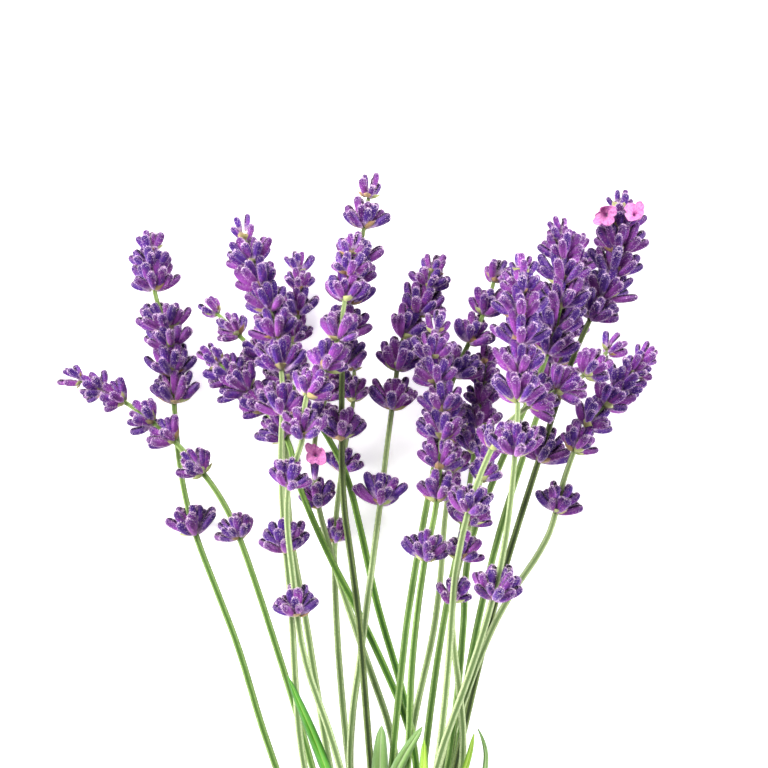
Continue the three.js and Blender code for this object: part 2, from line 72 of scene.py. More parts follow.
def welded(node):
    """The corners of a solid, each only once, and which corners share an edge."""
    skin = frame["nodes"][node].data
    corners = np.array([corner.co for corner in skin.vertices])
    points, back = np.unique(corners.round(WELD_DIGITS), axis=0, return_inverse=True)
    back = back.ravel()
    touching = [set() for _ in points]
    for face in skin.polygons:
        ids = [int(back[i]) for i in face.vertices]
        for a, b in zip(ids, ids[1:] + ids[:1]):
            touching[a].add(b)
            touching[b].add(a)
    return points, touching


def rings_from(start, touching):
    """Rings of corner numbers met on the way from one end point to the other."""
    rings, seen = [[start]], {start}
    while rings[-1]:
        ring = sorted({n for corner in rings[-1] for n in touching[corner]} - seen)
        seen.update(ring)
        rings.append(ring)
    return rings[:-1]


def turned_rings(node, sides):
    """Arrays of ring corners, from the foot of the piece to its tip, end points left out."""
    points, touching = welded(node)
    ends = []
    for start in range(len(points)):
        if len(touching[start]) == sides:
            rings = rings_from(start, touching)
            if len(rings[-1]) == 1 and all(len(ring) == sides for ring in rings[1:-1]):
                ends.append(rings)
    rings = min(ends, key=lambda found: points[found[0][0]][1])
    return points[rings[0][0]], [points[ring] for ring in rings[1:-1]], points[rings[-1][0]]


def line_of(node, sides):
    """The foot, the ring middles and the tip of a piece, and each ring's radius."""
    foot, rings, tip = turned_rings(node, sides)
    middles = np.array([ring.mean(0) for ring in rings])
    radii = np.array([np.linalg.norm(ring - ring.mean(0), axis=1).max() for ring in rings])
    return foot, middles, tip, radii


SPRIGS = sorted(name[-2:] for name in frame["nodes"] if name.startswith("stem_"))
print("sprigs:", len(SPRIGS), "rings on the first stem:", len(line_of("stem_01", 4)[1]))

# %% [markdown]
# ## Smooth lines and frames along them
#
# A solid's line has a few corners, but a plant bends smoothly. A Hermite curve
# passes through every point of the line with a slope taken from the points on
# both sides, so the fine stem stays where the solid is. A frame of two side
# directions is then carried along the line without twisting, for anything that
# grows round it.

# %% Resample a line and carry a frame along it
SAME_POINT = 0.05 * MM


def unit(vectors):
    return vectors / np.linalg.norm(vectors, axis=-1, keepdims=True)


def run_along(points):
    """Distance from the first point, measured along the line."""
    return np.concatenate([[0], np.cumsum(np.linalg.norm(np.diff(points[:, :3], axis=0), axis=1))])


def smooth_line(points, step):
    """Points at even steps on a smooth curve through the given points, and how far along each is.

    Columns after the third, such as a width, are carried along with the place.
    """
    points = np.asarray(points)
    points = points[np.concatenate([[True], np.diff(run_along(points)) > SAME_POINT])]
    run = run_along(points)
    slopes = np.gradient(points, run, axis=0)
    even = np.linspace(0, run[-1], max(3, round(run[-1] / step) + 1))
    k = np.clip(np.searchsorted(run, even, side="right") - 1, 0, len(run) - 2)
    span = (run[k + 1] - run[k])[:, None]
    t = (even - run[k])[:, None] / span
    start = (1 + 2 * t) * (1 - t) ** 2 * points[k] + t * (1 - t) ** 2 * span * slopes[k]
    finish = t * t * (3 - 2 * t) * points[k + 1] + t * t * (t - 1) * span * slopes[k + 1]
    return start + finish, even


def frames_along(line, first_side=(0, 0, 1)):
    """Direction and two side vectors at each point, carried along without twist."""
    ahead = unit(np.gradient(line, axis=0))
    side = np.array(first_side, float)
    sides = []
    for direction in ahead:
        side = side - direction * (side @ direction)
        side = side / np.linalg.norm(side)
        sides.append(side)
    sides = np.array(sides)
    return ahead, sides, np.cross(ahead, sides)


first_line, first_run = smooth_line(line_of("stem_01", 4)[1], MM)
print("first stem:", round(first_run[-1] / MM), "mm long, with", len(first_line), "even points")

# %% [markdown]
# ## From arrays to a mesh
#
# A stem, a calyx and a strand of twine are all grids of points: rings of a fixed
# number of corners, one after another. Working in arrays is quick, and the same
# few lines close a grid into a skin. Each corner also carries named numbers,
# such as how far along the piece it is, and the finishes read those later. They
# are the plant's own measure of place, so no unwrapping is needed. Soft parts
# that would reach below the table are pressed flat against it.

# %% Skin for many tubes at once, and the object made from it
def angles_of(count):
    """Even angles once round."""
    return np.arange(count) * 2 * np.pi / count


def tube_faces(tubes, rings, around):
    """Quads and end fans for tubes stored one after another, each rings x around corners."""
    i, k = np.meshgrid(np.arange(rings - 1), np.arange(around), indexing="ij")
    i, k = i.ravel(), k.ravel()
    right = (k + 1) % around
    low, high = i * around, (i + 1) * around
    quads = np.column_stack([low + k, low + right, high + right, high + k])
    start = np.arange(tubes)[:, None, None] * (rings * around)
    quads = (start + quads).reshape(-1, 4)
    last = (rings - 1) * around
    foot = (start[:, 0] + np.arange(around)[::-1]).tolist()
    head = (start[:, 0] + last + np.arange(around)).tolist()
    return quads.tolist() + foot + head


def round_place(turn, along, shape, radius=1.0, seed=0.0):
    """A place for the noise to read on a round piece: two numbers round it and one along it."""
    parts = np.cos(turn) * radius + seed, np.sin(turn) * radius + seed, along
    return np.stack([np.broadcast_to(part, shape) for part in parts], -1)


def make_piece(name, points, faces, marks, finish, nodes):
    """A smooth mesh object with its marks, its finish and its place in the frame."""
    skin = bpy.data.meshes.new(name)
    corners = points.reshape(-1, 3).copy()
    corners[:, 2] = np.maximum(corners[:, 2], 0)
    skin.from_pydata(corners.tolist(), [], faces)
    for mark, values in marks.items():
        values = np.asarray(values, np.float32)
        vector = values.shape[-1] == 3 and values.size == points.size
        layer = skin.attributes.new(mark, "FLOAT_VECTOR" if vector else "FLOAT", "POINT")
        layer.data.foreach_set("vector" if vector else "value", values.ravel())
    skin.shade_smooth()
    skin.materials.append(finish)
    piece = bpy.data.objects.new(name, skin)
    bpy.context.scene.collection.objects.link(piece)
    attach(piece, "root")
    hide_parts(*nodes)
    return piece


print("faces on a tube of 3 rings and 8 corners:", len(tube_faces(1, 3, 8)))

# %% [markdown]
# ## Shader maths
#
# A finish is a formula: pale where the ribs stand up, dark between them, a
# little different on every piece. Written as node links that is hard to read,
# so one small class wraps a socket and lets Python's own signs add the nodes.
# Colours go through Mix nodes, because a Math node would turn them grey.

# %% One class for sockets, one for a finish
class Wire:
    """A node socket that can be used in a formula."""

    def __init__(self, finish, socket):
        self.finish = finish
        self.socket = socket

    def _join(self, other, operation, swap=False):
        values = (other, self) if swap else (self, other)
        if self.socket.type == "VALUE":
            return self.finish.add("ShaderNodeMath", {"operation": operation}, dict(enumerate(values)))
        if self.socket.type == "VECTOR":
            return self.finish.add("ShaderNodeVectorMath", {"operation": operation}, dict(enumerate(values)))
        settings = {"data_type": "RGBA", "blend_type": operation}
        return self.finish.add("ShaderNodeMix", settings, {0: 1.0, 6: values[0], 7: values[1]}, out=2)

    def __add__(self, other):
        return self._join(other, "ADD")

    def __radd__(self, other):
        return self._join(other, "ADD")

    def __mul__(self, other):
        return self._join(other, "MULTIPLY")

    def __rmul__(self, other):
        return self._join(other, "MULTIPLY")

    def __sub__(self, other):
        return self._join(other, "SUBTRACT")

    def __rsub__(self, other):
        return self._join(other, "SUBTRACT", swap=True)

    def ramp(self, low, high):
        """0 below low, 1 above high, and a soft rise between them."""
        settings = {"interpolation_type": "SMOOTHSTEP"}
        return self.finish.add("ShaderNodeMapRange", settings, {0: self, 1: low, 2: high})


class Nodes:
    """A node tree being written."""

    def __init__(self, owner):
        owner.use_nodes = True
        self.tree = owner.node_tree

    def add(self, kind, settings, sockets, out=0):
        """A node of any type: its settings, then its values and links, and the socket it gives."""
        node = self.tree.nodes.new(kind)
        for setting, value in settings.items():
            setattr(node, setting, value)
        for socket, value in sockets.items():
            if isinstance(value, Wire):
                self.tree.links.new(value.socket, node.inputs[socket])
            else:
                node.inputs[socket].default_value = value
        return Wire(self, node.outputs[out])


class Finish(Nodes):
    """A material being written, with a Principled surface."""

    def __init__(self, name, **surface):
        self.material = bpy.data.materials.new(name)
        super().__init__(self.material)
        self.surface = next(node for node in self.tree.nodes if node.type == "BSDF_PRINCIPLED")
        for socket, value in surface.items():
            self.surface.inputs[socket.replace("_", " ")].default_value = value

    def mark(self, name):
        """A number that the mesh carries."""
        return self.add("ShaderNodeAttribute", {"attribute_name": name}, {}, out="Fac")

    def place(self, name):
        """A vector that the mesh carries."""
        return self.add("ShaderNodeAttribute", {"attribute_name": name}, {}, out="Vector")

    def grain(self, where, scale, detail=3.0):
        """Soft noise between 0 and 1."""
        sockets = {"Vector": where, "Scale": scale, "Detail": detail, "Roughness": 0.55}
        return self.add("ShaderNodeTexNoise", {}, sockets)

    def blend(self, first, second, factor):
        """From the first colour at 0 to the second at 1."""
        settings = {"data_type": "RGBA", "clamp_factor": True}
        return self.add("ShaderNodeMix", settings, {0: factor, 6: first, 7: second}, out=2)

    def bump(self, height, depth):
        """Small relief, as a direction for the surface's normal."""
        return self.add("ShaderNodeBump", {}, {"Strength": 1.0, "Distance": depth, "Height": height})

    def wear(self, **sockets):
        """Links what changes over the surface to the surface's own sockets."""
        for socket, wire in sockets.items():
            self.tree.links.new(wire.socket, self.surface.inputs[socket.replace("_", " ")])
        print("finish:", self.material.name, "-", len(self.tree.nodes), "nodes")
        return self.material


def srgb(code):
    """A colour written as in a paint chart, turned into the linear numbers that light uses."""
    parts = [int(code[i:i + 2], 16) / 255 for i in (0, 2, 4)]
    linear = [p / 12.92 if p <= 0.04045 else ((p + 0.055) / 1.055) ** 2.4 for p in parts]
    return (*linear, 1.0)


print("mid grey in light:", [round(part, 3) for part in srgb("808080")[:3]])

# %% [markdown]
# ## The stems' finish
#
# A lavender stem is square with rounded corners, and covered in very short
# down. The corners catch the light and look pale, with a greener, darker strip
# on each flat face. The strip and the corners come from the corner mark, and
# stretched noise adds the long streaks of the fibres. One function with three
# colours makes all four greens, since the stems differ in colour and not in build.

# %% Stem finish in four greens
def stem_finish(name, strip, corner, young):
    finish = Finish(name, Roughness=0.62, Sheen_Weight=0.2, Sheen_Roughness=0.4, Sheen_Tint=srgb("f2f6e4"),
                    Specular_IOR_Level=0.35)
    place = finish.place("place")
    streak = finish.grain(place * (0.9, 0.9, 0.12), 1.6)
    fleck = finish.grain(place * (1.0, 1.0, 0.5), 5.0)
    edge = (finish.mark("corner") + (streak - 0.5) * 0.7).ramp(0.25, 0.85)
    green = finish.blend(srgb(strip), srgb(corner), edge)
    green = finish.blend(green, srgb(young), finish.mark("youth") * 0.7)
    green = finish.blend(green, srgb(strip), (1 - fleck).ramp(0.45, 0.7) * 0.7)
    ridges = finish.mark("corner") * 0.4 + streak + fleck * 0.25
    rough = 0.5 + 0.25 * fleck
    return finish.wear(Base_Color=green, Roughness=rough, Normal=finish.bump(ridges, 0.15 * MM))


STEM_FINISH = {
    "stem_pale": stem_finish("pale downy stem", "5d7544", "aebd8c", "9cae72"),
    "stem_mid": stem_finish("green downy stem", "456a26", "8ba662", "8fa65c"),
    "stem_vivid": stem_finish("vivid green stem", "335f18", "7a9f48", "85a44e"),
    "stem_dark": stem_finish("dark olive stem", "263812", "74854e", "78894f"),
}
print("stem finishes:", ", ".join(STEM_FINISH))

# %% [markdown]
# ## Stems
#
# A stem and the thin axis of its flower head are one piece of plant, so one
# sweep runs from the cut end to the last whorl. A curve object with a bevel
# would do for a round stem. A sweep written by hand gives the square outline,
# and it can carry the corner mark for the finish. The cut end has a small worn
# edge, and the axis gets thinner through the flower head.

# %% Sweep a square, ribbed outline along each stem
STEM_AROUND = 24
STEM_STEP = 1.6 * MM
STEM_BODY, STEM_SQUARE, STEM_RIB = 0.86, 0.12, 0.025
STEM_WIDTH, STEM_TAPER = 1.04, 0.42
TAPER_FROM, TAPER_CURVE = 0.8, 1.3
TOP_WIDTH = 0.4
CUT_EDGE = 0.15 * MM
CUT_STEP = 0.08
YOUNG_FROM = 0.66
SEED_STEP = 7.3
TOP_WHORL_RINGS = 2
stem_angles = angles_of(STEM_AROUND)
square = STEM_BODY + STEM_SQUARE * np.cos(4 * stem_angles) + STEM_RIB * np.cos(12 * stem_angles)
slots = {entry["node"]: entry["material_slot"] for entry in frame["record"]["subparts"]}


def sweep(line, radii, outline, turn):
    """Rings of an outline set square to a line, turned by an angle at each ring."""
    _, side, other = frames_along(line)
    angle = angles_of(len(outline))[None, :] + turn[:, None]
    reach = radii[:, None] * outline[None, :]
    return (line[:, None] + (reach * np.cos(angle))[..., None] * side[:, None]
            + (reach * np.sin(angle))[..., None] * other[:, None])


def rise_from(start, share):
    """0 up to a start, then evenly up to 1 at the end."""
    return np.clip((share - start) / (1 - start), 0, 1)


def build_stem(number):
    foot, stem_middles, _, stem_radii = line_of(f"stem_{number}", 4)
    _, head_middles, _, _ = line_of(f"flower_head_{number}", 8)
    line, run = smooth_line(np.vstack([foot, stem_middles, head_middles[:-TOP_WHORL_RINGS]]), STEM_STEP)
    length = run[-1]
    neck = run_along(np.vstack([foot, stem_middles]))[-1] / length
    taper = STEM_TAPER * rise_from(neck * TAPER_FROM, run / length) ** TAPER_CURVE
    radii = stem_radii.max() * (STEM_WIDTH - taper)
    radii[-1] *= TOP_WIDTH
    line = np.vstack([line[:1], line])
    line[1] = line[0] + (line[2] - line[0]) * CUT_STEP
    radii = np.concatenate([[radii[0] - CUT_EDGE], radii])
    run = np.concatenate([[0], run])
    rings = sweep(line, radii, square, np.full(len(line), np.pi / 4))
    shape = rings.shape[:2]
    marks = {"place": round_place(stem_angles, run[:, None] / MM, shape, seed=int(number) * SEED_STEP),
             "corner": np.broadcast_to(0.5 + 0.5 * np.cos(4 * stem_angles), shape),
             "youth": np.broadcast_to(rise_from(YOUNG_FROM, run / length)[:, None], shape)}
    slot = slots[f"stem_{number}"]
    make_piece(f"fine_stem_{number}", rings, tube_faces(1, len(line), STEM_AROUND), marks,
               STEM_FINISH[slot], [f"stem_{number}"])
    return length


stem_lengths = [build_stem(number) for number in SPRIGS]
print("stems:", len(stem_lengths), "up to", round(max(stem_lengths) / MM), "mm long")

# %% [markdown]
# ## Where the whorls are
#
# A flower head's solid has three rings for each whorl: over the bracts, round
# the belly, and at the rim. Bare stretches of axis are only as wide as the stem.
# So the wide rings, taken three at a time, give each whorl's foot, direction,
# height and reach.

# %% Find each whorl of a head
BARE_RADIUS = 1.25 * MM
BRACT_SHARE, RIM_SHARE = 0.12, 0.86
BELLY_WIDTH = 0.94


def whorls_of(number):
    """Foot, direction, height and reach of each whorl, from the lowest to the tip."""
    _, middles, _, radii = line_of(f"flower_head_{number}", 8)
    wide = np.flatnonzero(radii > BARE_RADIUS)
    found = []
    for bract, belly, rim in wide.reshape(-1, 3):
        across = middles[rim] - middles[bract]
        height = np.linalg.norm(across) / (RIM_SHARE - BRACT_SHARE)
        direction = unit(across)
        foot = middles[bract] - direction * height * BRACT_SHARE
        found.append((foot, direction, height, radii[belly] / BELLY_WIDTH))
    return found


WHORLS = {number: whorls_of(number) for number in SPRIGS}
reaches = [whorl[3] / MM for whorls in WHORLS.values() for whorl in whorls]
print("whorls:", len(reaches), "reach", round(min(reaches), 1), "to", round(max(reaches), 1), "mm")

# %% [markdown]
# ## Fingers: the shape that calyces and bracts share
#
# A calyx is a small ribbed bag that leaves the axis sideways and curves up, and
# a bract is a flat, pointed cup under it. Both are rings along a bent line, so
# one function makes them all, hundreds at a time. Instancing one mesh would be
# lighter, but then each calyx would have the same bend, and the eye sees that.

# %% Many bent fingers in one array
EARLY_BEND = 0.8
AWAY_FROM_AXES = (0.31, 0.17, 0.94)


def fingers(foot, up, out, length, lean, rise, wide, thick, share, profile, outline, cup=0.0):
    """Corner grids of bent fingers.

    foot, up and out have one row for each finger. lean and rise are its angles from
    up at the foot and at the tip. share and profile give the stations along every
    finger and its width at each, and cup bends its sides in.
    """
    count = len(foot)
    angle = lean[:, None] + (rise - lean)[:, None] * share ** EARLY_BEND
    step = length[:, None] * np.diff(share)
    mid = (angle[:, 1:] + angle[:, :-1]) / 2
    zero = np.zeros((count, 1))
    along_up = np.concatenate([zero, np.cumsum(np.cos(mid) * step, axis=1)], axis=1)
    along_out = np.concatenate([zero, np.cumsum(np.sin(mid) * step, axis=1)], axis=1)
    line = foot[:, None] + along_up[..., None] * up[:, None] + along_out[..., None] * out[:, None]
    inward = np.cos(angle)[..., None] * out[:, None] * -1 + np.sin(angle)[..., None] * up[:, None]
    across = np.cross(out, up)[:, None]
    turn = angles_of(outline.shape[-1])
    reach = profile[None, :, None] * outline
    cupped = cup * wide[:, None, None] * (profile[None, :, None] * np.sin(turn) ** 2)
    over = reach * np.cos(turn) * thick[:, None, None] + cupped
    aside = reach * np.sin(turn) * wide[:, None, None]
    return line[:, :, None] + over[..., None] * inward[:, :, None] + aside[..., None] * across[:, :, None]


def spread(rng, middle, by, count):
    """Numbers round a middle, as plants vary."""
    return middle + by * rng.uniform(-1, 1, count)


def ring_directions(up, angles):
    """Directions square to up, at the given angles round it."""
    side = unit(np.cross(up, AWAY_FROM_AXES))
    other = np.cross(up, side)
    return np.cos(angles)[:, None] * side + np.sin(angles)[:, None] * other


print("four ways round +Y:", ring_directions(np.array([0, 1, 0]), angles_of(4)).round(2).tolist())


# %% [markdown]
# ## The calyces' finish
#
# A calyx is deep violet at its tip and pale lilac towards its foot. Its ribs are a
# little paler than the furrows. Its flanks are painted lighter, a painted highlight
# that stands in for the bright rim that back-lit down draws. The side that faces the
# axis is painted nearly black as painted shade, and heads on darker stems get a
# little painted shade all over. Noise moves each of these borders, so no two
# calyces end alike. A painted image could show the same, but marks and noise need
# no unwrapping and stay sharp close up.

# %% Calyx finish
def calyx_finish():
    finish = Finish("violet velvet calyx", Sheen_Weight=0.85, Sheen_Roughness=0.32, Sheen_Tint=srgb("f3d3f0"),
                    Specular_IOR_Level=0.25, Roughness=0.7)
    place = finish.place("place")
    along, rib, tint = finish.mark("along"), finish.mark("rib"), finish.mark("tint")
    blotch = finish.grain(place, 1.1, detail=2.0)
    fleck = finish.grain(place, 4.5)
    violet = finish.blend(srgb("52268e"), srgb("9442a4"), (blotch + tint * 0.7 - 0.35).ramp(0.3, 0.72))
    deep = finish.blend(violet, srgb("200848"), (along + (fleck - 0.5) * 0.7).ramp(0.5, 1.0) * 0.8)
    pale = finish.blend(srgb("e6d4ee"), srgb("c892d2"), fleck)
    colour = finish.blend(pale, deep, (along + (blotch - 0.5) * 0.7 + (tint - 0.5) * 0.35).ramp(0.0, 0.36))
    colour = finish.blend(colour, srgb("dba8da"), (rib * 0.2 + fleck).ramp(0.7, 1.0) * 0.45)
    # Painted highlight: the flanks are lightened to stand in for the bright rim of back-lit down.
    painted_flank_highlight = (finish.mark("painted_flank_highlight") + (fleck - 0.5) * 0.9).ramp(0.85, 1.25)
    colour = finish.blend(colour, srgb("dcaee0"), painted_flank_highlight * 0.36)
    # Painted shade: heads on darker stems are darkened all over, with some noise.
    colour = finish.blend(colour, srgb("1d0838"), finish.mark("shade") * 0.3 + (blotch - 0.5) * 0.4)
    # Painted shade: the side that faces the axis turns nearly black.
    colour = finish.blend(colour, srgb("0c0216"), finish.mark("painted_inner_shade").ramp(0.12, 0.7) * 0.93)
    colour = finish.blend(colour, srgb("c9c98f"), (1 - along).ramp(0.9, 1.0) * 0.6)
    height = rib * 0.5 + fleck * 0.6
    return finish.wear(Base_Color=colour, Roughness=0.6 + 0.3 * fleck, Normal=finish.bump(height, 0.12 * MM))


CALYX_FINISH = calyx_finish()

# %% [markdown]
# ## Down
#
# Each calyx wears a coat of short pale hairs, and against the light they draw a
# bright outline round it. A sheen layer alone is too thin to show that, so the
# hairs are real: tiny blades, each one triangle, that stand off the skin and lean
# to the tip. A particle system could grow them, but plain triangles export with
# the rest.

# %% Down finish and hairs
def down_finish():
    finish = Finish("pale lilac down", Roughness=0.8, Specular_IOR_Level=0.2)
    tint = finish.mark("tint")
    colour = finish.blend(srgb("fbecf8"), srgb("deb0e0"), tint)
    return finish.wear(Base_Color=colour, Roughness=0.7 + 0.2 * tint)


DOWN_FINISH = down_finish()
HAIRS_EACH = 165
HAIR_LENGTH = 0.42 * MM
HAIR_WIDTH = 0.085 * MM
HAIR_TIPWARD, HAIR_TOUSLED = 0.55, 0.3
ROOT_STOP = 2.01               # hairs start at the second ring and end just short of the last
EVEN_ROOTS = 0.9               # below 1, the hairs crowd towards the tip


def build_down(number, rng, grid):
    """Hairs over the skin of every calyx, each rooted at a random spot between the grid's corners."""
    count, stations, around = grid.shape[:3]
    which = np.repeat(np.arange(count), HAIRS_EACH)
    station = 1 + (stations - ROOT_STOP) * rng.uniform(0, 1, len(which)) ** EVEN_ROOTS
    corner = rng.uniform(0, around, len(which))
    s, k = station.astype(int), corner.astype(int) % around
    up_share, side_share = (station - s)[:, None], (corner % 1)[:, None]
    right = (k + 1) % around
    low = grid[which, s, k] * (1 - side_share) + grid[which, s, right] * side_share
    high = grid[which, s + 1, k] * (1 - side_share) + grid[which, s + 1, right] * side_share
    root = low * (1 - up_share) + high * up_share
    middle = grid.mean(2)[which, s] * (1 - up_share) + grid.mean(2)[which, s + 1] * up_share
    outward, tipward = unit(root - middle), unit(high - low)
    lean = unit(outward + tipward * HAIR_TIPWARD + rng.normal(size=root.shape) * HAIR_TOUSLED)
    across = unit(np.cross(lean, rng.normal(size=root.shape))) * HAIR_WIDTH / 2
    length = HAIR_LENGTH * spread(rng, 1.0, 0.4, len(which))[:, None]
    blades = np.stack([root - across, root + across, root + lean * length], 1)
    faces = np.arange(len(which) * 3).reshape(-1, 3).tolist()
    tint = np.repeat(rng.uniform(0, 1, len(which)), 3)
    make_piece(f"down_{number}", blades, faces, {"tint": tint}, DOWN_FINISH,
               [f"flower_head_{number}"])


print("hairs on each calyx:", HAIRS_EACH)


# %% [markdown]
# ## Calyces
#
# A whorl is a bowl of calyces in four tiers. The outer tiers lean far out and
# curve up, each tier further in stands straighter and starts higher, and the inner
# two are shorter. The top whorl has only a few upright ones. Scattering calyces at
# random would leave gaps, and tiers close the bowl as the plant does. The reach of
# the solid's whorl sets how many the outer tiers hold and how long they are.

# %% The tiers of a whorl
CALYX_RIBS = 10
CALYX_AROUND = 2 * CALYX_RIBS
CALYX_SHARE = np.array([0.0, 0.1, 0.24, 0.42, 0.6, 0.76, 0.86, 0.93, 0.975, 1.0])
CALYX_PROFILE = np.array([0.36, 0.56, 0.75, 0.9, 1.0, 1.0, 0.93, 0.77, 0.5, 0.12])
CALYX_RADIUS = 0.97 * MM
CALYX_FOOT = 0.7 * MM
SHORT_CALYX = 4.5 * MM
FULL_CALYX = 5.4 * MM
RIB_DEPTH = 0.05
CALYX_PAST_REACH = 1.22        # a bent calyx is longer than its reach
CALYCES_PER_REACH = 1.3 / MM
FEWEST, MOST = 5, 8
# Each tier has its count (0 and -1 are added to the outer tier's count), its turn,
# its lean at the foot and at the tip, its share of the full size, and how high on
# the whorl it starts.
OPEN_TIERS = [(0, 0, 1.2, 0.75, 1, 0.04), (-1, 0.5, 0.9, 0.45, 1, 0.14),
              (4, 0.2, 0.55, 0.2, 0.9, 0.3), (2, 0.9, 0.3, 0.1, 0.65, 0.5)]
TOP_TIERS = [(4, 0, 0.8, 0.4, 1, -0.05), (3, 0.6, 0.4, 0.1, 0.9, 0.25)]
ribbed = 1 + RIB_DEPTH * np.cos(CALYX_RIBS * angles_of(CALYX_AROUND))


def tier(rng, whorl, count, start, lean, rise, size, lift):
    """The rows that describe one ring of calyces in a whorl."""
    foot, up, height, _ = whorl
    turn = start + (np.arange(count) + rng.uniform(-0.3, 0.3, count)) * 2 * np.pi / count
    out = ring_directions(up, turn)
    lean, rise = spread(rng, lean, 0.26, count), spread(rng, rise, 0.28, count)
    grown = size * spread(rng, 1.0, 0.18, count)
    feet = foot + up * (lift * height + spread(rng, 0, 0.4 * MM, count)[:, None]) + out * CALYX_FOOT
    return feet, np.broadcast_to(up, out.shape), out, grown, lean, rise


def whorl_tiers(rng, whorl, is_top):
    start = rng.uniform(0, 2 * np.pi)
    reach = whorl[3]
    outer = int(np.clip(round(reach * CALYCES_PER_REACH), FEWEST, MOST))
    size = SHORT_CALYX if is_top else max((reach - CALYX_FOOT) * CALYX_PAST_REACH, SHORT_CALYX)
    tiers = []
    for count, turn, lean, rise, share, lift in (TOP_TIERS if is_top else OPEN_TIERS):
        held = count if count > 0 else outer + count
        tiers.append(tier(rng, whorl, held, start + turn, lean, rise, size * share, lift))
    return tiers


print("tiers of a whorl:", len(OPEN_TIERS), "and of the top one:", len(TOP_TIERS))

# %% [markdown]
# An open corolla grows out of a calyx of its own. It belongs to the head whose
# axis is nearest, so one more calyx runs from that axis to the flower's foot. It
# could be one of the tiers', but none of those ends just where a flower stands.

# %% The calyces that hold open flowers
HOLDER_LENGTH = 5.2 * MM
HOLDER_OVERLAP = 1.0 * MM
OPEN_FLOWERS = sorted(name for name in frame["nodes"] if name.startswith("open_flower"))
flower_feet = np.array([line_of(node, 10)[0] for node in OPEN_FLOWERS])
axes = {number: line_of(f"flower_head_{number}", 8)[1] for number in SPRIGS}
bearers = [min(SPRIGS, key=lambda number: np.linalg.norm(axes[number] - foot, axis=1).min())
           for foot in flower_feet]


def holders(number):
    """The rows for the calyces that run from the axis to the foot of this head's open flowers."""
    feet = flower_feet[[bearer == number for bearer in bearers]]
    away = np.linalg.norm(axes[number] - feet[:, None], axis=2)
    lower = np.arange(len(axes[number])) <= away.argmin(1)[:, None]
    start = axes[number][np.where(lower, abs(away - HOLDER_LENGTH), np.inf).argmin(1)]
    ahead = unit(feet - start)
    across = unit(np.cross(ahead, (0, 0, 1)))
    straight = np.zeros(len(feet))
    return start, ahead, across, np.linalg.norm(feet - start, axis=1) + HOLDER_OVERLAP, straight, straight


print("open flowers are on heads", ", ".join(bearers))

# %% [markdown]
# All the calyces of a head are one mesh with marks on its corners, and one mesh
# of hairs goes with it. One object for each calyx would be easier to pick, but
# hundreds of small objects are slow to draw and to export.

# %% Grow the calyces of one head
# Painted shade for each head, by its stem's green: heads on darker stems are darkened.
HEAD_SHADE = {"stem_dark": 1.0, "stem_mid": 0.5, "stem_vivid": 0.35, "stem_pale": 0.1}
SEEDS = 50                     # noise places this far apart look unrelated
CALYX_GRAIN = 1.1, 5.5         # how far the noise runs round a calyx and along it


def build_calyces(number):
    rng = np.random.default_rng(int(number) * 101)
    whorls = WHORLS[number]
    tiers = [t for k, whorl in enumerate(whorls) for t in whorl_tiers(rng, whorl, k == len(whorls) - 1)]
    if number in bearers:
        tiers.append(holders(number))
    feet, ups, outs, lengths, leans, rises = (np.concatenate(part) for part in zip(*tiers))
    count = len(feet)
    wide = CALYX_RADIUS * (np.clip(lengths / FULL_CALYX, 0.65, 1.1) * spread(rng, 1.0, 0.12, count))
    outline = np.broadcast_to(ribbed, (count, 1, CALYX_AROUND))
    grid = fingers(feet, ups, outs, lengths, leans, rises, wide, wide, CALYX_SHARE, CALYX_PROFILE, outline)
    shape = grid.shape[:3]
    turn = angles_of(CALYX_AROUND)
    along = np.broadcast_to(CALYX_SHARE[None, :, None], shape)
    seeds = rng.uniform(0, SEEDS, (count, 1, 1))
    marks = {"place": round_place(turn, along * CALYX_GRAIN[1], shape, CALYX_GRAIN[0], seeds),
             "along": along,
             "rib": np.broadcast_to(0.5 + 0.5 * np.cos(CALYX_RIBS * turn), shape),
             # painted shade on the side that faces the axis, growing from the foot
             "painted_inner_shade": np.clip(np.cos(turn), 0, 1) * np.clip(along * 1.6, 0, 1),
             # painted highlight on the flanks of every calyx
             "painted_flank_highlight": np.broadcast_to(np.abs(np.sin(turn)), shape),
             "tint": np.broadcast_to(rng.uniform(0, 1, (count, 1, 1)), shape),
             # painted shade over the whole head
             "shade": np.full(shape, HEAD_SHADE[slots[f"stem_{number}"]])}
    make_piece(f"calyces_{number}", grid, tube_faces(count, shape[1], CALYX_AROUND), marks, CALYX_FINISH,
               [f"flower_head_{number}"])
    build_down(number, rng, grid)
    return count


calyx_counts = [build_calyces(number) for number in SPRIGS]
print("calyces:", sum(calyx_counts), "at most", max(calyx_counts), "on one head")

# %% [markdown]
# ## Bracts
#
# Under every whorl sit a few thin, pointed bracts, green-yellow where they are
# young and tan where they have dried. They are the same fingers, pressed flat and
# bent into a cup, and they hug the underside of the outer calyces. Flat planes
# would do from far away, but their thin edges would not catch the light.

# %% Bract finish
def bract_finish():
    finish = Finish("papery bract", Roughness=0.7, Sheen_Weight=0.3, Sheen_Roughness=0.5,
                    Sheen_Tint=srgb("f4f0dc"))
    place = finish.place("place")
    along, tint = finish.mark("along"), finish.mark("tint")
    vein = finish.grain(place * (1.0, 1.0, 0.3), 3.2)
    fresh = finish.blend(srgb("a3b050"), srgb("ccd296"), vein)
    dry = finish.blend(srgb("7d5c34"), srgb("b89468"), vein)
    colour = finish.blend(fresh, dry, (tint + (vein - 0.5) * 0.5).ramp(0.35, 0.75))
    colour = finish.blend(colour, srgb("8d6a86"), along.ramp(0.6, 1.0) * 0.5)
    return finish.wear(Base_Color=colour, Roughness=0.55 + 0.3 * vein, Normal=finish.bump(vein, 0.1 * MM))


BRACT_FINISH = bract_finish()

# %% [markdown]
# The bracts come from the same function as the tiers of calyces. One ring of them
# starts just under each whorl and leans further out than the calyces do.

